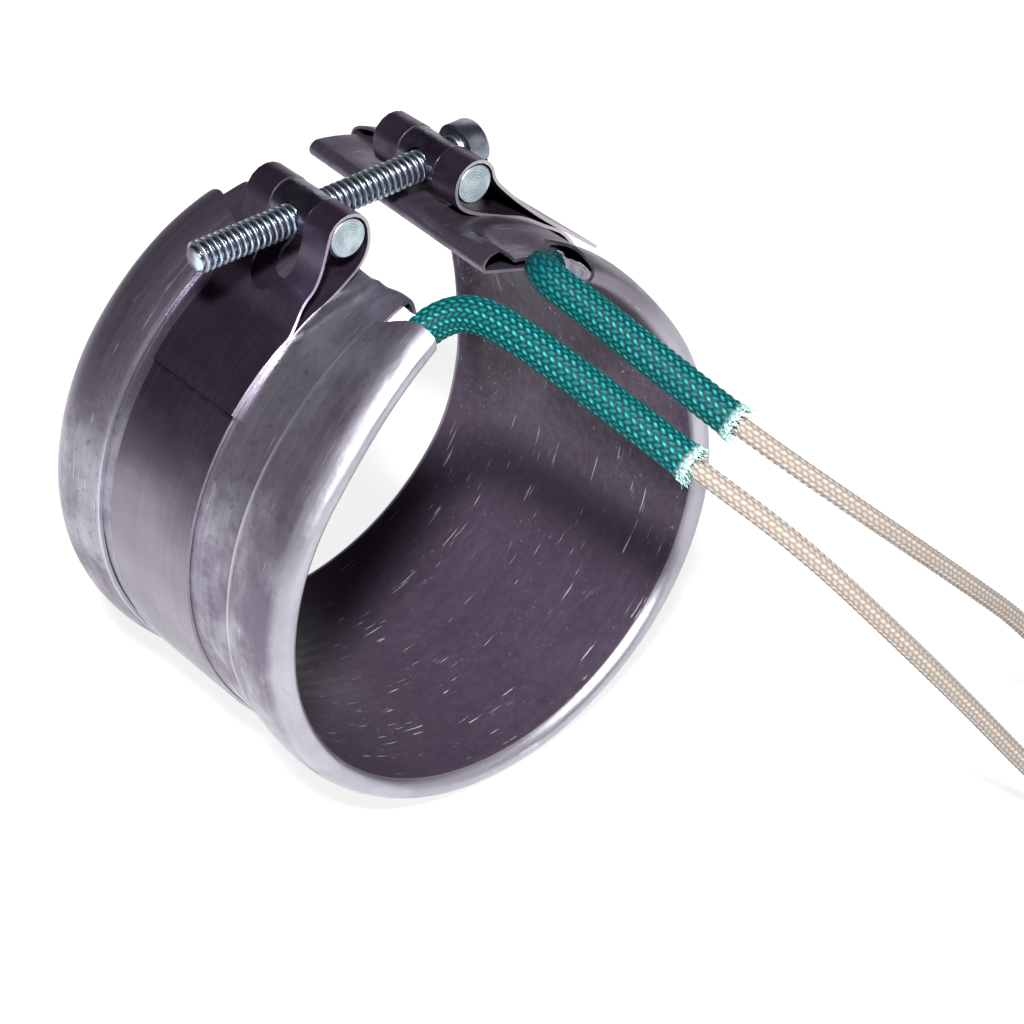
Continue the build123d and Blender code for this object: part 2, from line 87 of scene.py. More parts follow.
# Sizes of the clamp
barrel_height = 47.7 * mm
left_barrel_x = -9.9 * mm
right_barrel_x = 13.1 * mm
barrel_radius = 3.175 * mm
barrel_half_length = 9.45 * mm
pin_middle_radius = 3.62 * mm
screw_radius = 2.415 * mm
threaded_hole_radius = screw_radius + 0.1 * mm
clear_hole_radius = 2.7 * mm
screw_length = 46.0 * mm
screw_chamfer = 0.7 * mm
thread_pitch = 1.058 * mm
thread_depth = 0.62 * mm
head_clearance = 0.35 * mm
head_radius = 3.95 * mm
head_side_height = 3.0 * mm
head_height = 4.5 * mm
head_slot_width = 1.2 * mm
head_slot_depth = 1.9 * mm
head_slot_turn = -70.0

# Sizes of the leads
wire_radius = 1.5 * mm
sleeve_radius = 2.65 * mm
sleeve_bore_radius = 1.6 * mm
lead_length = 305.0 * mm
lead_line = -20.5 * mm
crimp_span = 13.3
crimp_middle = 1.65 * mm
coil_outer_turn = 16.5 * mm
coil_inner_turn = 13.5 * mm
coil_stub = 10.8 * mm
end_stub = 5.0 * mm
end_turn_in = 40.0
strand_radius = 0.6 * mm
strand_length = 7.0 * mm
# By side: -1 is the left lead and 1 the right one
lead_in = {-1: 3.8 * mm, 1: 3.2 * mm}
sleeve_start = {-1: 1.4 * mm, 1: 2.6 * mm}
sleeve_end = {-1: 48.5 * mm, 1: 42.5 * mm}
# Painted shade at the start of each sleeve, over this length
sleeve_shade = {-1: 0.0, 1: 9.0 * mm}

# The slant of a braid's floats, and their half lengths across and along it
lead_float = (52.0, 0.60, 0.42)
sleeve_float = (-38.0, 0.64, 0.38)


def smooth(value, low, high):
    """0 below low, 1 above high and a smooth step between."""
    share = min(max((value - low) / (high - low), 0.0), 1.0)
    return share * share * (3 - 2 * share)


def between(value, stops):
    """A value on a smooth line through a short list of (place, value) stops, level past its ends."""
    value = min(max(value, stops[0][0]), stops[-1][0])
    slopes = [0.0]
    for (low, first), (high, last) in zip(stops[:-2], stops[2:]):
        slopes.append((last - first) / (high - low))
    slopes.append(0.0)
    for index in range(len(stops) - 1):
        (low, first), (high, last) = stops[index], stops[index + 1]
        if value <= high:
            span = high - low
            share = (value - low) / span
            rise = share * share * (3 - 2 * share)
            leave = share * (1 - share) ** 2 * span * slopes[index]
            reach = share * share * (share - 1) * span * slopes[index + 1]
            return first + (last - first) * rise + leave + reach


# The band's line

def direction(angle):
    """Unit step in X and Z at an angle from the top, turning towards +X."""
    turn = math.radians(angle)
    return Vector((math.sin(turn), 0, math.cos(turn)))


spring_radius = bore_radius * (spring_to - spring_from) / (spring_to - spring_from - spring_relief)
spring_end_angle = spring_from + spring_relief
base_centre = Vector((0, 0, 0))
spring_centre = base_centre + direction(spring_to) * (bore_radius - spring_radius)
end_centre = spring_centre + direction(spring_end_angle) * (spring_radius - bore_radius)


def arc_of(angle):
    """Centre, bore radius and true direction at an angle along the band."""
    along = angle % full_turn
    if spring_from < along < spring_to:
        share = (spring_to - along) / (spring_to - spring_from)
        return spring_centre, spring_radius, spring_to - share * (spring_to - spring_end_angle)
    if along <= spring_from:
        return end_centre, bore_radius, along + spring_relief
    return base_centre, bore_radius, along


def band_point(angle, offset, y):
    """A point at an angle along the band, offset outwards from its bore."""
    centre, radius, true_angle = arc_of(angle)
    point = centre + direction(true_angle) * (radius + offset)
    return Vector((point.x, y, point.z))


# Meshes

def add_object(name, data):
    """Puts an object in the scene."""
    made = bpy.data.objects.new(name, data)
    bpy.context.scene.collection.objects.link(made)
    return made


def make_mesh(name, points, faces, body="band"):
    """A smooth object from points and faces that rides on a body."""
    mesh = bpy.data.meshes.new(name)
    mesh.from_pydata([tuple(point) for point in points], [], faces)
    mesh.validate()
    mesh.shade_smooth()
    piece = add_object(name, mesh)
    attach(piece, body)
    return piece


def loft_faces(rows, columns, closed, first=0):
    """Quads between rows of points that go round; closed joins the last row to the first."""
    faces = []
    for row in range(rows if closed else rows - 1):
        here, after = first + row * columns, first + (row + 1) % rows * columns
        for column in range(columns):
            beside = (column + 1) % columns
            faces.append((here + column, here + beside, after + beside, after + column))
    return faces


def add_tube(points, faces, rows, rooted=False):
    """Adds rows of points and their faces to a mesh's lists; a rooted tube has only its far end."""
    first, count = len(points), len(rows[0])
    points += [point for row in rows for point in row]
    faces += loft_faces(len(rows), count, False, first)
    if not rooted:
        faces.append(tuple(reversed(range(first, first + count))))
    faces.append(tuple(range(len(points) - count, len(points))))


def loft(name, rows, body="band"):
    """A closed section carried along rows of points, with flat ends."""
    points, faces = [], []
    add_tube(points, faces, rows)
    return make_mesh(name, points, faces, body)


def subtract(piece, cutters):
    """Cuts other objects out of a piece and removes them."""
    for cutter in cutters:
        cut = piece.modifiers.new("cut", "BOOLEAN")
        cut.object = cutter
        cut.operation = "DIFFERENCE"
    graph = bpy.context.evaluated_depsgraph_get()
    mesh = bpy.data.meshes.new_from_object(piece.evaluated_get(graph))
    piece.modifiers.clear()
    piece.data = mesh
    for cutter in cutters:
        bpy.data.objects.remove(cutter)


def add_number(piece, name, values):
    """Stores a number at each point of a mesh for its material to read."""
    layer = piece.data.attributes.new(name, "FLOAT", "POINT")
    layer.data.foreach_set("value", values)


def keep_edges_sharp(piece, angle):
    """Shades the faces smooth, apart from edges that turn by more than the angle."""
    piece.data.set_sharp_from_angle(angle=math.radians(angle))


# Materials

class Value:
    """An output of a node that can be added, subtracted and multiplied."""

    def __init__(self, shader, socket):
        self.shader = shader
        self.socket = socket

    def __add__(self, other):
        return self.shader.math("ADD", self, other)

    def __sub__(self, other):
        return self.shader.math("SUBTRACT", self, other)

    def __mul__(self, other):
        return self.shader.math("MULTIPLY", self, other)


class Shader:
    """A material's or a world's nodes and short calls that add to them."""

    def __init__(self, name, owner=None):
        self.owner = owner or bpy.data.materials.new(name)
        self.owner.use_nodes = True
        self.tree = self.owner.node_tree
        self.tree.nodes.clear()

    def node(self, kind, inputs, output=0, **settings):
        """Adds a node, feeds it and gives one of its outputs."""
        made = self.tree.nodes.new("ShaderNode" + kind)
        for name, value in settings.items():
            setattr(made, name, value)
        for name, value in inputs.items():
            if isinstance(value, Value):
                self.tree.links.new(value.socket, made.inputs[name])
            else:
                made.inputs[name].default_value = value
        return Value(self, made.outputs[output])

    def math(self, operation, first, second=0.0):
        return self.node("Math", {0: first, 1: second}, operation=operation)

    def place(self):
        return self.node("TexCoord", {}, "Object")

    def part(self, place, axis):
        return self.node("SeparateXYZ", {0: place}, axis)

    def attribute(self, name):
        return self.node("Attribute", {}, "Fac", attribute_name=name)

    def noise(self, place, scale, detail=3.0, roughness=0.55):
        inputs = {"Vector": place, "Scale": scale, "Detail": detail, "Roughness": roughness}
        return self.node("TexNoise", inputs, "Fac")

    def stretched(self, place, scale, turn=(0, 0, 0), shift=(0, 0, 0)):
        turned = tuple(math.radians(angle) for angle in turn)
        return self.node("Mapping", {"Vector": place, "Scale": scale, "Rotation": turned, "Location": shift})

    def ramp(self, value, low, high, first=0.0, last=1.0):
        inputs = {"Value": value, 1: low, 2: high, 3: first, 4: last}
        return self.node("MapRange", inputs, interpolation_type="SMOOTHSTEP")

    def mix(self, share, first, second, blend="MIX"):
        return self.node("Mix", {0: share, 6: first, 7: second}, 2, data_type="RGBA", blend_type=blend)

    def shaded(self, color, share):
        gray = self.node("CombineColor", {0: share, 1: share, 2: share})
        return self.mix(1.0, color, gray, "MULTIPLY")

    def bump(self, height, distance, strength):
        return self.node("Bump", {"Height": height, "Distance": distance, "Strength": strength})

    def end(self, surface, kind="OutputMaterial"):
        output = self.tree.nodes.new("ShaderNode" + kind)
        self.tree.links.new(surface.socket, output.inputs["Surface"])
        return self.owner

    def finish(self, **inputs):
        """Ends a material in one surface and gives the material."""
        names = {"color": "Base Color", "specular": "Specular IOR Level", "sheen": "Sheen Weight"}
        sockets = {names.get(name, name.title()): value for name, value in inputs.items()}
        return self.end(self.node("BsdfPrincipled", sockets))


def band_place(shader):
    """Coordinates that follow the band: the way round it, along the bore, and out from it."""
    x, y, z = (shader.part(shader.place(), axis) for axis in range(3))
    around = shader.math("ARCTAN2", x, z) * bore_radius
    return shader.node("CombineXYZ", {0: around, 1: y, 2: shader.math("SQRT", x * x + z * z)})


def rolled_steel(name, light, dark, blotch, scratched, brushed, roughness, dull, bore=None):
    """Rolled sheet steel: cloudy, faintly streaked the way it was rolled, darkened in places by painted shade
    and lightly scratched.
    """
    shader = Shader(name)
    place = shader.place()
    around = band_place(shader)
    clouds = shader.noise(place, 75.0, 5.0, 0.62)
    specks = shader.noise(place, 620.0, 3.0, 0.7)
    streaks = shader.noise(shader.stretched(around, (22, 900, 900)), 1.0, 3.0, 0.6)
    color = shader.mix(shader.ramp(clouds, 0.36, 0.66), dark, light)
    color = shader.mix(shader.ramp(specks, 0.52, 0.72) * 0.45, color, blotch)
    color = shader.shaded(color, shader.ramp(streaks, 0.38, 0.66, 1 - brushed, 1.0))
    rough = shader.ramp(clouds, 0.3, 0.7, dull, -dull / 2) + roughness
    rough = rough + shader.ramp(streaks, 0.3, 0.7, 0.05, -0.05)
    metal = 0.92
    # Painted shade round the right end and on the rear of the left one
    along, y, z = shader.part(around, 0), shader.part(place, 1), shader.part(place, 2)
    right = shader.ramp(along, 0.0, 0.004) * shader.ramp(along, 0.022, 0.036, 1.0, 0.0)
    rear = shader.ramp(y, 0.0, 0.010) * shader.ramp(along, -0.060, -0.020)
    painted_shade = shader.math("MAXIMUM", right, rear * 1.1) * 0.62
    if bore:
        # The darker, mottled bore
        inside = shader.attribute("bore")
        outside = shader.ramp(inside, 0.0, 1.0, 1.0, 0.0)
        mottle = shader.ramp(shader.noise(place, 700.0, 7.0, 0.8), 0.38, 0.64)
        worn = shader.ramp(shader.noise(place, 60.0, 4.0, 0.6), 0.35, 0.70)
        inner = shader.mix(worn * 0.3, shader.mix(mottle, bore[1], bore[0]), bore[0])
        dots = shader.ramp(shader.noise(place, 1500.0, 2.0, 0.5), 0.66, 0.72)
        dots = dots * shader.ramp(shader.noise(place, 130.0, 2.0), 0.46, 0.60)
        inner = shader.mix(dots * 0.6, inner, (0.62, 0.62, 0.68, 1))
        color = shader.mix(inside, color, inner)
    color = shader.mix(shader.attribute("cut") * 0.8, color, (0.62, 0.60, 0.66, 1))
    if bore:
        # The bore's dark lower half, and a painted highlight that makes the rims paler
        deep = inside * shader.ramp(z, -0.020, 0.004, 0.82, 0.0)
        color = shader.mix(deep, color, (0.034, 0.023, 0.040, 1))
        # Painted highlight along the rolled rims, outside the bore
        rim = shader.ramp(shader.math("ABSOLUTE", y), half_width - 3.6 * mm, half_width - 1.4 * mm)
        color = shader.mix(rim * outside * 0.7, color, (0.46, 0.455, 0.50, 1))
        painted_shade = painted_shade * outside
        metal = shader.ramp(inside, 0.0, 1.0, metal, 0.30)
        rough = rough + inside * 0.06
    # Painted shade: mixes a dark violet in where the mask is set
    color = shader.mix(painted_shade, color, (0.085, 0.062, 0.095, 1))
    scratches = None
    for turn, shift in ((23, 0.0), (-38, 1.7), (71, 3.1)):
        lines = shader.stretched(around, (130, 2600, 60), (0, 0, turn), (shift, 0, 0))
        line = shader.ramp(shader.noise(lines, 1.0, 1.0, 0.4), 0.70, 0.76)
        scratches = shader.math("MAXIMUM", scratches, line) if scratches else line
    scratches = scratches * shader.ramp(shader.noise(place, 190.0, 2.0), 0.52, 0.62)
    color = shader.mix(scratches * scratched, color, (0.85, 0.84, 0.88, 1))
    normal = shader.bump(streaks * brushed + specks * 0.6 + clouds * 1.6, 0.00012, 0.55)
    return shader.finish(color=color, metallic=metal, roughness=rough, normal=normal)


def plated(name, light, dark, roughness, painted_groove_shade=None):
    """Bright plating, faintly mottled, with painted shade in its grooves where it has any."""
    shader = Shader(name)
    place = shader.place()
    clouds = shader.noise(place, 420.0, 4.0, 0.6)
    color = shader.mix(shader.ramp(clouds, 0.35, 0.68), dark, light)
    if painted_groove_shade:
        # Painted shade in the thread's grooves, by how deep each point sits
        color = shader.mix(shader.ramp(shader.attribute("painted_screw_shade"), 0.15, 0.85), color, painted_groove_shade)
    rough = shader.ramp(clouds, 0.3, 0.7, roughness + 0.12, roughness)
    normal = shader.bump(shader.noise(place, 1600.0, 2.0), 0.00004, 0.5)
    return shader.finish(color=color, metallic=1.0, roughness=rough, normal=normal)


def turned_zinc(name, pin_x):
    """A zinc plated pin, its round side painted dark as a painted reflection, whose ends show the rings of
    the turning tool.
    """
    shader = Shader(name)
    place = shader.place()
    dark, ring_gap = (0.27, 0.34, 0.38, 1), 0.42 * mm
    across = shader.part(place, 0) - pin_x
    up = shader.part(place, 2) - barrel_height
    radius = shader.math("SQRT", across * across + up * up)
    ripple = radius * (1 / ring_gap) + shader.noise(place, 500.0, 3.0)
    rings = shader.ramp(shader.math("SINE", ripple * math.tau), -0.4, 0.9)
    clouds = shader.noise(place, 380.0, 4.0, 0.65)
    color = shader.mix(shader.ramp(clouds, 0.36, 0.66), dark, (0.50, 0.60, 0.64, 1))
    color = shader.mix(rings * 0.35, color, (0.72, 0.80, 0.82, 1))
    color = shader.mix(shader.ramp(radius, barrel_radius - 0.5 * mm, barrel_radius) * 0.5, color, dark)
    # Painted reflection: the pin's round side painted dark, as if it mirrored dark surroundings
    along = shader.math("ABSOLUTE", shader.part(place, 1) - strap_centre)
    side = shader.ramp(along, barrel_half_length - 0.12 * mm, barrel_half_length - 0.02 * mm, 1.0, 0.0)
    color = shader.mix(side, color, shader.mix(clouds, (0.07, 0.060, 0.088, 1), (0.25, 0.24, 0.30, 1)))
    rough = shader.ramp(clouds, 0.3, 0.7, 0.5, 0.36) - side * 0.14
    metal = shader.ramp(side, 0.0, 1.0, 0.75, 1.0)
    normal = shader.bump(rings + clouds * 1.2, 0.00003, 0.8)
    return shader.finish(color=color, metallic=metal, roughness=rough, normal=normal)


def strap_steel():
    """The strap: dark, brushed along its length, with a painted reflection that makes its lower left part
    paler, bright cut edges and a heat mark at its tail's end.
    """
    shader = Shader("strap_steel")
    place = shader.place()
    around = band_place(shader)
    brush = shader.noise(shader.stretched(around, (14, 2600, 500)), 1.0, 4.0, 0.65)
    clouds = shader.noise(shader.stretched(place, (1, 0.6, 1)), 95.0, 4.0, 0.6)
    pale = shader.ramp(clouds, 0.40, 0.70)
    color = shader.mix(pale, (0.062, 0.042, 0.074, 1), (0.140, 0.112, 0.165, 1))
    color = shader.shaded(color, shader.ramp(brush, 0.36, 0.66, 0.88, 1.06))
    along = shader.part(around, 0)
    # Painted reflection: the strap's lower part on the left painted paler, as if it mirrored the floor
    low = shader.ramp(along, -0.060, -0.036, 1.0, 0.0)
    color = shader.mix(low * 0.75, color, (0.31, 0.29, 0.34, 1))
    facing = shader.part(shader.node("NewGeometry", {}, "True Normal"), 1)
    cut = shader.ramp(shader.math("ABSOLUTE", facing), 0.75, 0.95)
    color = shader.mix(cut * 0.85, color, (0.60, 0.56, 0.61, 1))
    heat = shader.ramp(shader.noise(place, 420.0, 3.0), 0.36, 0.62, 0.15, 0.8)
    from_line = along + tail_end_line + (shader.noise(place, 240.0) - 0.5) * 0.0006
    line = shader.ramp(shader.math("ABSOLUTE", from_line), 0.0001, 0.0004, 1.0, 0.0)
    color = shader.mix(line * heat, color, (0.06, 0.026, 0.022, 1))
    rough = shader.ramp(clouds, 0.3, 0.7, 0.46, 0.32) + shader.ramp(brush, 0.3, 0.7, 0.06, -0.06)
    normal = shader.bump(brush, 0.00004, 0.6)
    return shader.finish(color=color, metallic=0.95, roughness=rough, normal=normal)


def mica_sheet():
    """Built-up mica: pale brown flakes with a slight gloss."""
    shader = Shader("mica")
    flakes = shader.node("TexVoronoi", {"Vector": shader.place(), "Scale": 330.0}, "Color")
    grain = shader.noise(shader.place(), 900.0, 4.0)
    shade = shader.mix(grain, (0.30, 0.21, 0.12, 1), (0.52, 0.41, 0.28, 1))
    color = shader.mix(0.12, shade, flakes, "OVERLAY")
    rough = shader.ramp(grain, 0.3, 0.7, 0.35, 0.6)
    return shader.finish(color=color, roughness=rough, normal=shader.bump(grain, 0.00008, 0.6))


def glass_cloth(name, light, dark):
    """Rough glass fibre."""
    shader = Shader(name)
    fibres = shader.noise(shader.stretched(shader.place(), (500, 2600, 900), (20, 30, 10)), 1.0, 4.0, 0.7)
    clumps = shader.noise(shader.place(), 900.0, 3.0)
    color = shader.mix(shader.ramp(clumps, 0.35, 0.7), dark, light)
    brightest = tuple(min(channel * 1.3, 1.0) for channel in light)
    color = shader.mix(shader.ramp(fibres, 0.45, 0.75, 0.0, 0.5), color, brightest)
    normal = shader.bump(fibres + clumps, 0.00025, 0.8)
    return shader.finish(color=color, roughness=0.8, normal=normal, sheen=0.2)


def braid(name, deep, middle, bright, roughness):
    """A braid whose raised floats get a painted highlight and whose gaps between them get painted shade."""
    shader = Shader(name)
    raised = shader.attribute("raised")
    place = shader.place()
    patches = shader.noise(place, 160.0, 3.0)
    fine = shader.noise(place, 3200.0, 2.0)
    # Painted shade in the gaps between the floats, and a painted highlight on the raised floats below
    color = shader.mix(shader.ramp(raised, 0.02, 0.55), deep, middle)
    light = shader.ramp(raised, 0.62, 1.0) * shader.ramp(patches, 0.35, 0.65, 0.35, 1.0)
    color = shader.mix(light, color, bright)
    worn = shader.attribute("worn") * shader.ramp(fine, 0.3, 0.7)
    color = shader.mix(worn, color, (0.62, 0.80, 0.76, 1))
    rough = shader.ramp(fine, 0.3, 0.7, roughness, roughness + 0.15)
    normal = shader.bump(fine, 0.00005, 0.5)
    return shader.finish(color=color, roughness=rough, normal=normal, specular=0.14)


materials = {
    "sheath_steel": rolled_steel("sheath_steel", (0.37, 0.365, 0.42, 1), (0.175, 0.150, 0.200, 1),
                                 (0.10, 0.08, 0.12, 1), scratched=0.35, brushed=0.08, roughness=0.38,
                                 dull=0.10, bore=((0.112, 0.087, 0.124, 1), (0.050, 0.034, 0.057, 1))),
    "cover_steel": rolled_steel("cover_steel", (0.36, 0.35, 0.41, 1), (0.17, 0.145, 0.20, 1),
                                (0.09, 0.07, 0.10, 1), scratched=0.25, brushed=0.14, roughness=0.36,
                                dull=0.16),
    "strap_steel": strap_steel(),
    "barrel_zinc": turned_zinc("barrel_zinc", right_barrel_x),
    "left_pin_zinc": turned_zinc("left_pin_zinc", left_barrel_x),
    # The last colour is the painted shade for the thread's grooves and the head
    "screw_zinc": plated("screw_zinc", (0.62, 0.76, 0.82, 1), (0.34, 0.40, 0.48, 1), 0.26,
                         (0.14, 0.14, 0.18, 1)),
    "mica": mica_sheet(),
    "ribbon_alloy": plated("ribbon_alloy", (0.42, 0.38, 0.34, 1), (0.25, 0.22, 0.20, 1), 0.34),
    "terminal_nickel": plated("terminal_nickel", (0.62, 0.59, 0.52, 1), (0.36, 0.33, 0.28, 1), 0.3),
    "pad_white": glass_cloth("pad_white", (0.86, 0.88, 0.84, 1), (0.52, 0.55, 0.52, 1)),
    # The right pad's white cloth painted dark grey: the grey of the ragged sheet at the right exit, and
    # painted shade in the hollow under the flange
    "pad_grey_and_painted_shade": glass_cloth("pad_grey_and_painted_shade", (0.13, 0.12, 0.15, 1), (0.05, 0.042, 0.06, 1)),
    "sleeve_green": braid("sleeve_green", (0.0, 0.022, 0.030, 1), (0.0, 0.088, 0.086, 1),
                          (0.02, 0.33, 0.28, 1), 0.46),
    "lead_cream": braid("lead_cream", (0.17, 0.14, 0.12, 1), (0.28, 0.25, 0.22, 1),
                        (0.41, 0.38, 0.345, 1), 0.8),
    "strand_nickel": plated("strand_nickel", (0.66, 0.62, 0.56, 1), (0.38, 0.34, 0.30, 1), 0.3),
}


def paint(piece, slot, look=None):
    """Gives a piece one of the record's slots and its material, or another look of it."""
    piece.data.materials.clear()
    piece.data.materials.append(materials[look or slot])


def dress_nodes():
    """Gives every solid of the frame its detailed material."""
    for entry in frame["record"]["subparts"]:
        look = "left_pin_zinc" if entry["node"] == "thread_barrel" else entry["material_slot"]
        for holder in frame["nodes"][entry["node"]].material_slots:
            holder.link = "OBJECT"
            holder.material = materials[look]


# The sheath

def signed(angle):
    """An angle along the band, from -180 to 180."""
    return (angle + full_turn / 2) % full_turn - full_turn / 2


def end_lift(angle):
    """How far the flattened right end and the left end stand out from the band's own arc, in metres."""
    along = signed(angle)
    if along < 0:
        return 0.7 * mm * smooth(along, -50, -14)
    stops = [(2, 0.3), (9, 0.6), (15, 0.9), (22, 1.0), (32, 1.1), (42, 1.1), (56, 0.8), (76, 0.3), (98, 0.0)]
    return between(along, stops) * mm


def outer_share(angle, offset):
    """1 for the layers outside the mica, and 0 for the wall inside it where the mica lies against it."""
    along = signed(angle)
    free = 1 - smooth(along, 14, 21) if along > 0 else 1 - smooth(-along, 14, 19)
    return max(smooth(offset, wall, cover_inner_face), free)


def left_rise(along):
    """How far up its slope the front of the left end stands: 0 low down, and 1 near the end."""
    return max((along + 52) / 35, 0.0) ** 2


def front_lift(angle):
    """How far the front rim stands out from the band's own arc, in metres, at an angle."""
    along = signed(angle)
    if along < 0:
        return 3.9 * mm * left_rise(along)
    stops = [(14, 1.5), (18, 1.3), (28, -0.3), (37, -1.5), (48, -2.1), (66, -1.7), (84, -0.8), (104, 0.0)]
    return between(along, stops) * mm


def rear_lift(angle):
    """The same for the rear rim."""
    along = signed(angle)
    if along < 0:
        return 0.0
    stops = [(18, 0.3), (24, 0.4), (36, -0.6), (60, -1.8), (84, -2.3), (104, -1.2), (125, 0.0)]
    return between(along, stops) * mm


def lift(angle, offset, y):
    """How far the sheath stands out from its own arc."""
    outer = smooth(offset, wall, cover_inner_face)
    near_rim = smooth(abs(y), 22.5 * mm, 27 * mm)
    from_middle = smooth(abs(y), 12 * mm, 26 * mm) * outer + near_rim * (1 - outer)
    rim = front_lift(angle) if y < 0 else rear_lift(angle)
    return end_lift(angle) * max(outer_share(angle, offset), near_rim) + rim * from_middle


def rolled(turn, inset, side):
    """A point of a rolled rim, as its offset and its place along Y, at an inset from its outer face."""
    roll = rim_height / 2
    reach = roll - inset
    long = reach if turn < math.pi / 2 else roll_length - inset
    return roll - reach * math.cos(turn), side * (half_width - inset - long * (1 - math.sin(turn)))


def flange(height, seat, shoulder, edge, shares):
    """The flange between the rolled rim and its edge on the cover, as offsets and places along Y."""
    return [(height + (seat - height) * share ** 1.6, shoulder + (edge - shoulder) * share)
            for share in shares]


def rim_line(side, edge):
    """Outline of one rolled rim and its flange: out over the outer face and back under it."""
    seat = cover_outer_face + seat_gap
    shoulder = side * (half_width - roll_length)
    turns = [math.pi * step / 20 for step in range(21)]
    shares = [step / 8 for step in range(1, 9)]
    line = [rolled(turn, 0, side) for turn in turns[1:]]
    line += flange(rim_height, seat + wall, shoulder, edge, shares)
    line += flange(rim_height - wall, seat, shoulder, edge, shares[::-1])
    return line + [rolled(turn, wall, side) for turn in turns[::-1]]


def sheath_line():
    """Outline of the sheath's section, as offsets from the bore and places along Y."""
    straight = half_width - rim_height / 2
    line = [(0.0, -straight + 2 * straight * step / 32) for step in range(33)]
    line += rim_line(1, flange_rear_edge)
    line += [(wall, straight - 2 * straight * step / 16) for step in range(1, 16)]
    return line + rim_line(-1, flange_front_edge)[::-1]


def sheath_ends(offset, y):
    """Where the sheath's two ends stand at a point of its section."""
    folded = smooth(offset, wall, rim_height)
    front = smooth(-y, 0, half_width)
    rear = smooth(y, 0, half_width)
    edge = smooth(half_width - abs(y), 2 * mm, 13 * mm)
    left = left_sheath_end + folded * (front * (0.5 - 3.0 * edge) + rear * (4.0 - 5.0 * edge))
    right = right_sheath_end + folded * (front * (-3.0 + 5.0 * edge) + rear * (0.3 + 1.0 * edge))
    right -= 2.6 * smooth(-y, 17.5 * mm, 21 * mm) * (1 - folded)
    return full_turn + left, right


def make_sheath():
    """The sheath with its rolled rims, skewed ends and slightly uneven line."""
    line = sheath_line()
    steps = 260
    rows = []
    for step in range(steps + 1):
        share = step / steps
        row = []
        for offset, y in line:
            left, right = sheath_ends(offset, y)
            angle = right + (left - right) * share
            raised = offset + lift(angle, offset, y)
            wave = noise.noise(band_point(angle, raised, y) * 55) * 0.16 * mm
            wave *= smooth(offset, 0, cover_inner_face)
            row.append(band_point(angle, raised + wave, y))
        rows.append(row)
    sheath = loft("sheath_shell", rows)
    bore = [1.0 if offset < wall / 2 and abs(y) < half_width - 1.5 * mm else 0.0 for offset, y in line]
    edges = (flange_front_edge, flange_rear_edge)
    cut = [1.0 if offset > rim_height / 2 and min(abs(y - edge) for edge in edges) < 0.01 * mm else 0.0
           for offset, y in line]
    add_number(sheath, "bore", bore * len(rows))
    add_number(sheath, "cut", cut * len(rows))
    keep_edges_sharp(sheath, 50)
    paint(sheath, "sheath_steel")
    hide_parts("sheath")


# The cover strip

def cover_line(y):
    """Outline of the cover strip's section at a place along Y, as angles and offsets."""
    share = (y - hem_front_edge) / (cover_rear_edge - hem_front_edge)
    left = full_turn - 12.2 + 4.6 * share
    right = 4.6 + 3.2 * share
    left_leg = full_turn - 16.6
    right_leg = 19.6
    line = []

    def fold(angle, outwards, inner, outer, backwards):
        middle = (inner + outer) / 2
        reach = (outer - inner) / 2
        turns = [math.pi * step / 10 for step in range(11)]
        for turn in (reversed(turns) if backwards else turns):
            around = outwards * math.degrees(reach * math.sin(turn) / bore_radius)
            line.append((angle + around, middle + reach * math.cos(turn)))

    line.append((right_leg, 0.0))
    fold(right, -1, 0.0, cover_outer_face, True)
    for step in range(1, 150):
        line.append((right + (left - right) * step / 150, cover_outer_face))
    fold(left, 1, 0.0, cover_outer_face, False)
    line.append((left_leg, 0.0))
    line.append((left_leg, wall))
    fold(left, 1, wall, cover_inner_face, True)
    for step in range(1, 150):
        line.append((left + (right - left) * step / 150, cover_inner_face))
    fold(right, -1, wall, cover_inner_face, False)
    line.append((right_leg, wall))
    return line


def cover_lift(angle, offset, y):
    """How far the cover strip stands out: its ends, the ridge by the left one and the pinched right one."""
    along = signed(angle)
    outer = smooth(offset, wall, cover_inner_face)
    raised = end_lift(angle) * outer_share(angle, offset)
    if along < 0:
        ridge = math.exp(-((y + 8.3 * mm) / (1.3 * mm)) ** 2) * smooth(along, -37, -27)
        slope = 1.5 * mm * smooth(-y, 7 * mm, 16 * mm) * left_rise(along)
        return raised + outer * (0.6 * mm * ridge + slope)
    front = smooth(-y, 7 * mm, 14 * mm)
    hollow = smooth(along, 3, 6) * (1 - smooth(along, 7.5, 11))
    pinch = smooth(along, 7.5, 11) * (1 - smooth(along, 18, 24))
    return raised + outer * front * (0.9 * mm * hollow - 1.45 * mm * pinch)


def make_cover():
    """The cover strip with its folded ends."""
    steps = 40
    rows = []
    for step in range(steps + 1):
        y = hem_front_edge + (cover_rear_edge - hem_front_edge) * step / steps
        row = []
        for angle, offset in cover_line(y):
            point = band_point(angle, offset, y)
            wave = noise.noise(point * 70) * 0.12 * mm
            row.append(band_point(angle, offset + cover_lift(angle, offset, y) + wave, y))
        rows.append(row)
    cover = loft("cover_shell", rows)
    keep_edges_sharp(cover, 50)
    paint(cover, "cover_steel")
    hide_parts("cover_strip")


# The clamp strap

def flat_points(*places):
    """Points in X and Z from their places in millimetres."""
    return [Vector((x, 0, z)) * mm for x, z in places]


left_tail_rise = flat_points((-18.3, 39.9), (-16.2, 41.8), (-14.8, 44.2))
left_main_fall = flat_points((-6.4, 45.6), (-7.6, 43.1), (-10.3, 41.0))
right_main_fall = flat_points((30.0, 32.9), (26.0, 35.8), (22.2, 38.5), (18.3, 40.3), (14.5, 42.1),
                              (11.5, 43.8), (9.9, 45.6))
right_tail_rise = flat_points((17.4, 46.2), (19.3, 43.9), (21.6, 41.4), (26.1, 37.0), (31.4, 32.4),
                              (36.8, 27.8))


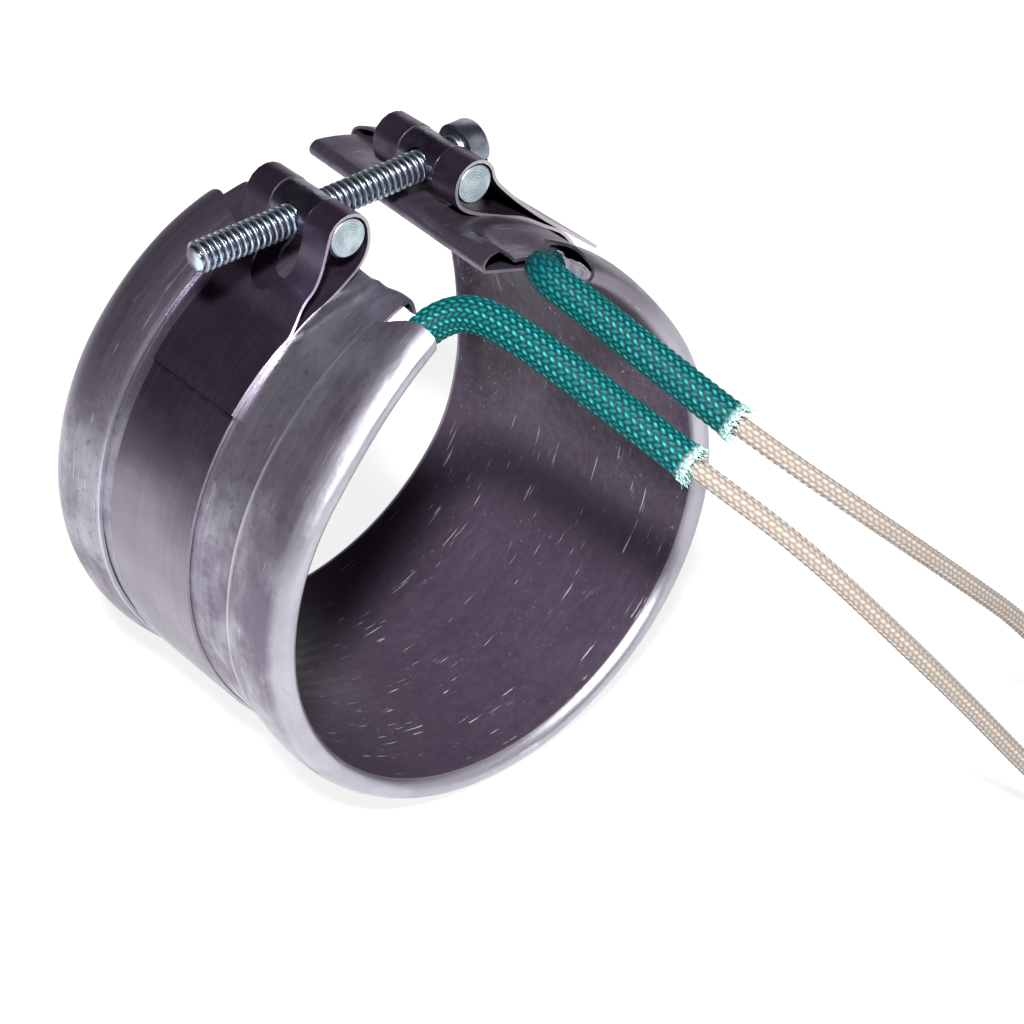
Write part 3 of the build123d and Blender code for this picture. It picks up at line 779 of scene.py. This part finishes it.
def strap_stops():
    """The strap's middle line in X and Z, from its left tail, round the band, to its right tail."""
    tail = bore_radius + tail_middle
    main = bore_radius + strap_middle
    loop = barrel_radius + loop_clearance
    stops = [direction(angle) * tail for angle in (-49, -44, -39, -34, -30)]
    barrel = Vector((left_barrel_x, 0, barrel_height))
    stops += left_tail_rise + [barrel + direction(angle) * loop for angle in range(-80, 81, 20)]
    stops += left_main_fall
    stops += [direction(angle) * (main + 0.3 * mm) for angle in (-20, -25)]
    stops += [direction(angle) * main for angle in range(-32, -260, -6)]
    stops += [band_point(angle, strap_middle + end_lift(angle), 0) for angle in (94, 86, 78, 70, 62, 54, 47)]
    barrel = Vector((right_barrel_x, 0, barrel_height))
    stops += right_main_fall + [barrel + direction(angle) * loop for angle in range(-90, 91, 20)]
    return stops + right_tail_rise


def through(stops, spacing):
    """Points along a smooth line that passes through every stop."""
    ends = [stops[0] * 2 - stops[1]] + stops + [stops[-1] * 2 - stops[-2]]
    line = []
    for before, first, last, after in zip(ends[:-3], ends[1:-2], ends[2:-1], ends[3:]):
        count = max(int((last - first).length / spacing), 1)
        for step in range(count):
            share = step / count
            rise = 3 * share ** 2 - 2 * share ** 3
            leave = (last - before) / 2 * (share ** 3 - 2 * share ** 2 + share)
            reach = (after - first) / 2 * (share ** 3 - share ** 2)
            line.append(first * (1 - rise) + leave + last * rise + reach)
    line.append(stops[-1])
    return line


def slot_cutter(barrel_x, side, reach, centre, edge):
    """A slot with a round end to cut out of the strap, above an edge radius round a centre."""
    far = barrel_x + side * reach
    near = barrel_x - side * 4 * barrel_radius
    round_middle = far - side * slot_radius
    places = [near, round_middle]
    places += [round_middle + side * slot_radius * math.sin(math.radians(turn)) for turn in range(10, 90, 10)]
    rows = []
    for x in places:
        past = max((x - round_middle) * side, 0.0)
        half = math.sqrt(slot_radius ** 2 - past ** 2)
        across = x - centre.x
        low = centre.z + math.sqrt(max(edge ** 2 - across ** 2, 0.0)) if edge else bore_radius / 2
        high = barrel_height + 4 * barrel_radius
        rows.append([Vector((x, strap_centre + half * way, z))
                     for way, z in ((-side, low), (side, low), (side, high), (-side, high))])
    return loft("strap_cutter", rows)


def make_strap():
    """The strap, folded back on itself round both pins, with its slots for the screw."""
    middle = through(strap_stops(), 0.7 * mm)
    half = wall / 2
    columns = 10
    rows = []
    for index, point in enumerate(middle):
        heading = (middle[min(index + 1, len(middle) - 1)] - middle[max(index - 1, 0)]).normalized()
        out = Vector((-heading.z, 0, heading.x))
        row = []
        for face in (1, -1):
            for column in range(columns + 1):
                way = (column / columns - 0.5) * face
                y = strap_centre + strap_width * way
                row.append(Vector((point.x, y, point.z)) + out * half * face)
        rows.append(row)
    strap = loft("clamp_strap_band", rows)
    cutters = []
    for barrel_x, centre, side, edge in ((left_barrel_x, base_centre, -1, left_slot_edge),
                                         (right_barrel_x, end_centre, 1, right_slot_edge)):
        cutters.append(slot_cutter(barrel_x, side, outer_slot_reach, centre, edge))
        cutters.append(slot_cutter(barrel_x, side, inner_slot_reach, centre, 0))
    subtract(strap, cutters)
    keep_edges_sharp(strap, 40)
    paint(strap, "strap_steel")
    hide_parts("clamp_strap")


# The pads in the folds

def make_pad(name, node, start, end, front, seed, cloth):
    """A rough block of glass fibre in the fold beside a lead, with a ragged lip if it reaches far out."""
    rear = -8.0 * mm
    across, deep = 26, 40
    rows = []
    shift = Vector((seed, seed, seed))
    for row in range(deep + 1):
        y = front + (rear - front) * row / deep
        lip = smooth(-y, 17 * mm, 18.5 * mm) * smooth(-front, 20 * mm, 25 * mm)
        first = start - lip * (1.0 + 0.05 * (-y - 17 * mm) / mm)
        last = end + (first + 1.7 - end) * lip
        line = []
        for upper, order in ((False, range(across + 1)), (True, range(across, -1, -1))):
            for step in order:
                angle = first + (last - first) * step / across
                offset = pad_inner_face + cover_lift(angle, 0.0, y) * (1 - lip)
                if upper:
                    flat = cover_inner_face - seat_gap + cover_lift(angle, cover_inner_face, y)
                    offset = flat + (3.9 * mm - flat) * lip
                point = band_point(angle, offset, y)
                rough = noise.fractal(point * 900 + shift, 1.0, 2.0, 3)
                ragged = noise.noise(Vector((y * 500, seed, step * 0.05))) * 0.7 * mm * lip if upper else 0.0
                line.append(point + Vector((0.10, 0.28, 0.10)) * mm * rough + direction(angle) * ragged)
        rows.append(line)
    pad = loft(name, rows)
    paint(pad, "pad_white", cloth)
    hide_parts(node)


# The pins

def screw_point(x, radius, turn):
    """A point round the screw's axis."""
    return Vector((x, strap_centre + radius * math.cos(turn), barrel_height + radius * math.sin(turn)))


def full_circle(count):
    """The turns of a full circle's points, in radians."""
    return [math.tau * step / count for step in range(count)]


def make_pin(name, x, hole_radius, body):
    """A pin with a wider middle that fills the strap's slot, bored across for the screw."""
    end, middle = barrel_half_length, slot_radius - 0.12 * mm
    chamfer, bevel = 0.35 * mm, 0.12 * mm
    half = [(middle - bevel, pin_middle_radius), (middle, pin_middle_radius - bevel), (middle, barrel_radius),
            (end - chamfer, barrel_radius), (end, barrel_radius - chamfer)]
    rows = []
    for y, radius in [(-y, radius) for y, radius in reversed(half)] + half:
        rows.append([Vector((x + radius * math.sin(turn), strap_centre + y,
                             barrel_height + radius * math.cos(turn))) for turn in full_circle(96)])
    pin = loft(name, rows, body)
    hole = [[screw_point(x + along * barrel_radius, hole_radius, turn) for turn in full_circle(64)]
            for along in (-2, 2)]
    subtract(pin, [loft("drill", hole, body)])
    keep_edges_sharp(pin, 30)
    return pin


def make_pins():
    """Both pins: the threaded one on the left and the plain one under the screw's head."""
    left = make_pin("thread_pin", left_barrel_x, threaded_hole_radius, "band")
    paint(left, "barrel_zinc", "left_pin_zinc")
    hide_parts("thread_barrel")
    right = make_pin("head_pin_barrel", right_barrel_x, clear_hole_radius, "head_pin")
    paint(right, "barrel_zinc")
    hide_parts("head_barrel")


# The screw

def thread_reach(turns):
    """How far a thread stands out at a fraction of a turn: 0 at its root and 1 at its crest."""
    place = turns % 1.0
    return min(max(1.35 - abs(place - 0.5) * 4.0, 0.0), 1.0) ** 0.9


def make_shank(seat):
    """The screw's threaded shank, from its end to the seat under its head."""
    end = right_barrel_x + barrel_radius + 0.15 * mm - screw_length
    around, per_turn = 48, 14
    length = seat - end
    rings = int(length / thread_pitch * per_turn)
    rows, painted_screw_shade = [], []
    for ring in range(rings + 1):
        x = end + length * ring / rings
        bevel = min((x - end) / screw_chamfer, 1.0)
        runout = smooth(seat - x, 0.2 * mm, 1.2 * mm)
        row = []
        for step, turn in enumerate(full_circle(around)):
            depth = 1 - thread_reach((x - end) / thread_pitch - step / around)
            radius = screw_radius - thread_depth * depth * runout
            radius = min(radius, screw_radius - thread_depth * 1.2 * (1 - bevel))
            painted_screw_shade.append(depth)
            row.append(screw_point(x, radius, turn))
        rows.append(row)
    shank = loft("screw_shank", rows, "screw")
    add_number(shank, "painted_screw_shade", painted_screw_shade)
    keep_edges_sharp(shank, 60)
    paint(shank, "screw_zinc")
    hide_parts("clamp_screw")


def make_head(seat):
    """The screw's rounded head with its slot."""
    side = seat + head_side_height
    top = seat + head_height
    profile = [(seat, 0.6), (seat, 0.93), (seat + 0.15 * mm, 1.0), (side - 0.1 * mm, 1.0), (side, 0.985)]
    for step in range(1, 9):
        turn = math.pi / 2 * step / 9
        profile.append((side + (top - side) * math.sin(turn), 0.985 * math.cos(turn) ** 0.7))
    rows = [[screw_point(x, head_radius * share, turn) for turn in full_circle(64)] for x, share in profile]
    head = loft("screw_head", rows, "screw")
    axis = Vector((0, strap_centre, barrel_height))
    corners = [(-1, -1), (1, -1), (1, 1), (-1, 1)]
    rows = [[Vector((top + head_slot_depth * way, head_slot_width / 2 * y, 2 * head_radius * z))
             for y, z in corners] for way in (-1, 1)]
    cutter = loft("slot_cutter", rows, "screw")
    turned = Matrix.Rotation(math.radians(head_slot_turn), 4, "X")
    cutter.data.transform(Matrix.Translation(axis) @ turned)
    subtract(head, [cutter])
    keep_edges_sharp(head, 35)
    paint(head, "screw_zinc")
    # Painted shade: the whole head painted somewhat darker
    add_number(head, "painted_screw_shade", [0.6] * len(head.data.vertices))


# The leads

left_route = [
    (-4.7, -22.6, 41.6), (-2.7, -26.8, 42.3), (-1.0, -35.5, 40.7), (1.9, -47.0, 36.6),
    (5.6, -61.5, 31.0), (12.5, -74.5, 22.5), (24.0, -83.5, 6.0), (36.0, -88.0, -10.5),
    (47.0, -91.3, -26.0), (56.0, -93.3, -37.0), (63.0, -94.8, -40.7), (70.3, -96.6, -40.7),
]
right_route = [
    (10.6, -22.8, 42.4), (10.7, -27.2, 41.4), (12.0, -33.0, 39.6), (14.0, -43.0, 36.0),
    (18.0, -57.5, 29.8), (27.3, -71.0, 19.6), (43.5, -76.5, 3.0), (59.5, -77.5, -13.5),
    (67.2, -79.0, -25.5), (73.8, -80.6, -36.2), (80.8, -82.3, -40.7), (88.6, -84.0, -40.7),
]


def crimp_mouth(side):
    """The mouth of a crimp barrel and the heading there, towards the gap."""
    mouth = full_turn + left_sheath_end + 0.4 if side < 0 else right_sheath_end - 0.4
    middle = mouth + side * crimp_span / 2
    turn = math.radians(arc_of(middle)[2])
    heading = Vector((math.cos(turn), 0, -math.sin(turn))) * -side
    half = bore_radius * math.radians(crimp_span) / 2
    return band_point(middle, crimp_middle, lead_line) + heading * half, heading


def turned(vector, angle):
    """A vector turned about Z, in degrees."""
    return Matrix.Rotation(math.radians(angle), 3, "Z") @ vector


def tube_length(points):
    """Length of the tube that rounds the corners of a route's floor stretch and free run."""
    total = sum((after - before).length for before, after in zip(points[:-1], points[1:]))
    for before, corner, after in zip(points[:-2], points[1:-1], points[2:]):
        run_in, run_out = corner - before, after - corner
        half = run_in.angle(run_out) / 2
        cut = 0.45 * min(run_in.length, run_out.length)
        total -= 2 * cut - 2 * half * cut / math.tan(half)
    return total


def lead_points(side):
    """The whole route of a lead: its free run, the coil's turns and its last straight stub."""
    mouth, heading = crimp_mouth(side)
    route = left_route if side < 0 else right_route
    points = [mouth, mouth + heading * lead_in[side]] + [Vector(point) * mm for point in route]
    free = tube_length(points)
    end = points[-1]
    along = (end - points[-2]).normalized()
    inwards = Vector((-along.y, along.x, 0)) * side
    centre = end + along * coil_stub + inwards * coil_outer_turn
    rest = lead_length - free - coil_stub - end_stub
    wound = math.degrees(rest / ((coil_outer_turn + coil_inner_turn) / 2))
    spare = wound - full_turn
    count = 42
    for step in range(count + 1):
        turn = wound * step / count
        radius = coil_outer_turn + (coil_inner_turn - coil_outer_turn) * smooth(turn, spare, full_turn)
        points.append(centre + turned(inwards * -1, side * turn) * radius)
    leaving = turned(along, side * (wound + end_turn_in))
    points.append(points[-1] + leaving * end_stub)
    return points, leaving


def route_curve(name, points):
    """A smooth open curve with a route's points as its control points."""
    data = bpy.data.curves.new(name, "CURVE")
    data.dimensions = "3D"
    spline = data.splines.new("NURBS")
    spline.points.add(len(points) - 1)
    for made, point in zip(spline.points, points):
        made.co = (point.x, point.y, point.z, 1)
    spline.order_u = 3
    spline.use_endpoint_u = True
    spline.resolution_u = 24
    return add_object(name, data)


def curve_line(curve):
    """The points along a curve."""
    graph = bpy.context.evaluated_depsgraph_get()
    mesh = bpy.data.meshes.new_from_object(curve.evaluated_get(graph))
    line = [vertex.co.copy() for vertex in mesh.vertices]
    bpy.data.meshes.remove(mesh)
    bpy.data.objects.remove(curve)
    return line


class Line:
    """A line of points with even frames along it."""

    def __init__(self, points):
        self.points = points
        self.reach = [0.0]
        for before, after in zip(points[:-1], points[1:]):
            self.reach.append(self.reach[-1] + (after - before).length)
        self.length = self.reach[-1]
        heading = (points[1] - points[0]).normalized()
        side = heading.orthogonal().normalized()
        self.headings = []
        self.sides = []
        for index in range(len(points)):
            before = points[max(index - 1, 0)]
            after = points[min(index + 1, len(points) - 1)]
            heading = (after - before).normalized()
            side = (side - heading * side.dot(heading)).normalized()
            self.headings.append(heading)
            self.sides.append(side)

    def at(self, distance):
        """Place, side and upright at a distance along the line."""
        distance = min(max(distance, 0.0), self.length)
        high = min(bisect.bisect_right(self.reach, distance), len(self.reach) - 1)
        low = high - 1
        share = (distance - self.reach[low]) / max(self.reach[high] - self.reach[low], 1e-9)
        place = self.points[low].lerp(self.points[high], share)
        heading = self.headings[low].lerp(self.headings[high], share).normalized()
        side = self.sides[low].lerp(self.sides[high], share)
        side = (side - heading * side.dot(heading)).normalized()
        return place, side, heading.cross(side)


def float_height(around, along, columns, pitch, slant, long, short):
    """Height of a braid's floats: short slanted ridges in columns that are set half a step apart."""
    column = around * columns
    best = 0.0
    tall = 1.0
    for nearest in (math.floor(column), math.floor(column) + 1):
        across = column - nearest
        step = along / pitch + (0.5 if nearest % 2 else 0.0)
        place = step - math.floor(step) - 0.5
        lean = math.radians(slant if nearest % 2 else -slant)
        lengthwise = across * math.cos(lean) + place * math.sin(lean)
        crosswise = place * math.cos(lean) - across * math.sin(lean)
        height = 1 - (lengthwise / long) ** 2 - (crosswise / short) ** 2
        if height > best:
            best = height
            tall = 0.62 if nearest % 2 else 1.0
    return best, best * tall


def braided_tube(name, line, start, end, radius, bore, columns, pitch, depth, around, step, shape, flare=0.0,
                 dull=0.0):
    """A braided tube between two distances along a line, hollow if it has a bore."""
    rings = int((end - start) / step)
    places = [(ring, False) for ring in range(rings + 1)]
    if bore:
        places += [(ring, True) for ring in [*range(rings, 0, -8), 0]]
    points, raised, worn = [], [], []
    for ring, inside in places:
        distance = start + (end - start) * ring / rings
        place, side, upright = line.at(distance)
        opened = smooth(distance, end - 2.2 * mm, end) * flare
        wear = smooth(distance, end - 1.6 * mm, end) if flare else 0.0
        # Painted shade: the floats darkened over the sleeve's first dull length
        lit = smooth(distance, start, start + dull) if dull else 1.0
        for index in range(around):
            share = index / around
            turn = math.tau * share
            reach, shine = bore + opened, 0.0
            if not inside:
                height, shine = float_height(share, distance, columns, pitch, *shape)
                ragged = noise.noise(Vector((math.cos(turn) * 3, math.sin(turn) * 3, distance * 900)))
                reach = radius - depth * (1 - height) + opened * (0.6 + 0.5 * ragged)
            points.append(place + (side * math.cos(turn) + upright * math.sin(turn)) * reach)
            raised.append(shine * lit)
            worn.append(wear)
    faces = loft_faces(len(places), around, bool(bore))
    if not bore:
        faces.append(tuple(reversed(range(around))))
        faces.append(tuple(range(len(points) - around, len(points))))
    tube = make_mesh(name, points, faces)
    add_number(tube, "raised", raised)
    add_number(tube, "worn", worn)
    return tube


def make_tufts(name, line, end, seed):
    """Loose glass fibres at the cut end of a sleeve."""
    picker = random.Random(seed)
    points, faces = [], []
    place, side, upright = line.at(end)
    heading = side.cross(upright)
    count = 34
    for tuft in range(count):
        turn = math.tau * (tuft + picker.random()) / count
        out = side * math.cos(turn) + upright * math.sin(turn)
        across = side * -math.sin(turn) + upright * math.cos(turn)
        root = place + out * (sleeve_radius + picker.uniform(-0.5, 0.15) * mm) - heading * 0.6 * mm
        length = picker.uniform(0.9, 2.1) * mm
        lean = picker.uniform(0.0, 0.7)
        drift = picker.uniform(-0.5, 0.5)
        thick = picker.uniform(0.13, 0.26) * mm
        rows = []
        for step in range(6):
            share = step / 5
            centre = root + (heading + across * drift * share) * length * share
            centre += out * lean * length * share ** 2
            width = thick * (1 - 0.75 * share)
            rows.append([centre + (out * math.cos(angle) + across * math.sin(angle)) * width
                         for angle in full_circle(6)])
        add_tube(points, faces, rows, rooted=True)
    tufts = make_mesh(name, points, faces)
    for number in ("raised", "worn"):
        add_number(tufts, number, [0.8] * len(points))
    paint(tufts, "sleeve_green")
    return tufts


def make_strands(name, start, leaving):
    """The twisted bare strands at the end of a lead."""
    side = leaving.orthogonal().normalized()
    upright = leaving.cross(side)
    points, faces = [], []
    single, steps, twists = strand_radius / 3, 24, 1.6
    for strand in range(7):
        rows = []
        for step in range(steps + 1):
            share = step / steps
            turn = math.tau * (strand / 6 + share * twists)
            spread = 0 if strand == 6 else single * 2
            middle = start + leaving * strand_length * share
            middle += (side * math.cos(turn) + upright * math.sin(turn)) * spread
            rows.append([middle + (side * math.cos(angle) + upright * math.sin(angle)) * single
                         for angle in full_circle(8)])
        add_tube(points, faces, rows)
    strands = make_mesh(name, points, faces)
    paint(strands, "strand_nickel")
    return strands


def make_lead(name, side):
    """A lead with its sleeve, loose fibres and stripped end."""
    points, leaving = lead_points(side)
    line = Line(curve_line(route_curve("route_" + name, points)))
    end = sleeve_end[side]
    lead = braided_tube("lead_" + name + "_braid", line, 0.0, line.length, wire_radius, 0, columns=12,
                        pitch=1.15 * mm, depth=0.16 * mm, around=48, step=0.22 * mm, shape=lead_float)
    paint(lead, "lead_cream")
    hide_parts("lead_" + name, "coil_" + name)
    sleeve = braided_tube("sleeve_" + name + "_braid", line, sleeve_start[side], end, sleeve_radius,
                          sleeve_bore_radius, columns=22, pitch=1.28 * mm, depth=0.15 * mm, around=132,
                          step=0.10 * mm, shape=sleeve_float, flare=0.35 * mm, dull=sleeve_shade[side])
    paint(sleeve, "sleeve_green")
    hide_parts("sleeve_" + name)
    tufts = make_tufts("sleeve_" + name + "_tufts", line, end, 3 + side)
    strands = make_strands("strands_" + name, points[-1], leaving)
    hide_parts("strand_" + name)


# The camera, the floor and the light

def make_camera():
    """The camera where the photograph's stood."""
    azimuth, elevation = math.radians(camera_azimuth), math.radians(camera_elevation)
    right = Vector((math.cos(azimuth), math.sin(azimuth), 0))
    back = Vector((math.sin(azimuth) * math.cos(elevation), -math.cos(azimuth) * math.cos(elevation),
                   math.sin(elevation)))
    data = bpy.data.cameras.new("camera")
    data.lens = camera_lens
    data.sensor_width = 36
    data.clip_start = 0.01
    camera = add_object("camera", data)
    turned = Matrix((right, back.cross(right), back)).transposed().to_4x4()
    camera.matrix_world = Matrix.Translation(camera_place) @ turned
    bpy.context.scene.camera = camera


def make_floor():
    """A pale floor that looks white and keeps a soft shadow."""
    shader = Shader("floor_white")
    seen = shader.node("LightPath", {}, "Is Camera Ray")
    for ray in ("Is Glossy Ray", "Is Transmission Ray"):
        seen = shader.math("MAXIMUM", seen, shader.node("LightPath", {}, ray))
    plain = shader.node("BsdfDiffuse", {"Color": (0.82, 0.82, 0.83, 1)})
    glow = shader.node("Emission", {"Color": (1, 1, 1, 1), "Strength": 1.18})
    material = shader.end(shader.node("MixShader", {0: seen * 0.72, 1: plain, 2: glow}))
    half, height = 3.0, floor_height - floor_gap
    corners = [(-half, -half, height), (half, -half, height), (half, half, height), (-half, half, height)]
    mesh = bpy.data.meshes.new("floor")
    mesh.from_pydata(corners, [], [(0, 1, 2, 3)])
    mesh.materials.append(material)
    floor = add_object("floor", mesh)


def make_world():
    """A white surround for the eye and a dim violet one for the light."""
    world = bpy.data.worlds.new("studio")
    bpy.context.scene.world = world
    shader = Shader("studio", world)
    tint = shader.node("ValToRGB", {0: shader.part(shader.node("TexCoord", {}, "Generated"), 2)})
    low, high = tint.socket.node.color_ramp.elements
    low.position, low.color = 0.0, (0.17, 0.155, 0.19, 1)
    high.position, high.color = 0.35, (0.045, 0.034, 0.050, 1)
    glow = shader.node("Background", {0: tint, 1: 1.0})
    white = shader.node("Background", {0: (1, 1, 1, 1), 1: 1.0})
    seen = shader.node("LightPath", {}, "Is Camera Ray")
    shader.end(shader.node("MixShader", {0: seen, 1: glow, 2: white}), "OutputWorld")


def make_lamp(name, place, size, power):
    """A square soft lamp that faces the object."""
    data = bpy.data.lights.new(name, "AREA")
    data.size = size
    data.energy = power
    lamp = add_object(name, data)
    lamp.location = place
    lamp.rotation_euler = (-Vector(place)).to_track_quat("-Z", "Y").to_euler()


bpy.context.scene.view_settings.view_transform = "Standard"
make_camera()
make_floor()
make_world()
make_lamp("key", (-0.372, -0.443, 0.689), 0.10, 24.0)
make_lamp("fill", (0.9, -0.7, 0.5), 0.9, 1.8)
make_lamp("back", (1.0, 0.8, 0.35), 0.6, 1.2)

dress_nodes()
make_sheath()
make_cover()
make_strap()
make_pad("left_pad_cloth", "exit_pad_left", full_turn - 22.5, full_turn - 12.6, -20.3 * mm, 5.0,
         "pad_white")
# The right pad takes the dark grey look, partly painted shade in the hollow
make_pad("right_pad_cloth", "exit_pad_right", 19.2, 25.5, -26.8 * mm, 9.0, "pad_grey_and_painted_shade")
make_pins()
head_seat = right_barrel_x + pin_middle_radius + head_clearance
make_shank(head_seat)
make_head(head_seat)
make_lead("left", -1)
make_lead("right", 1)
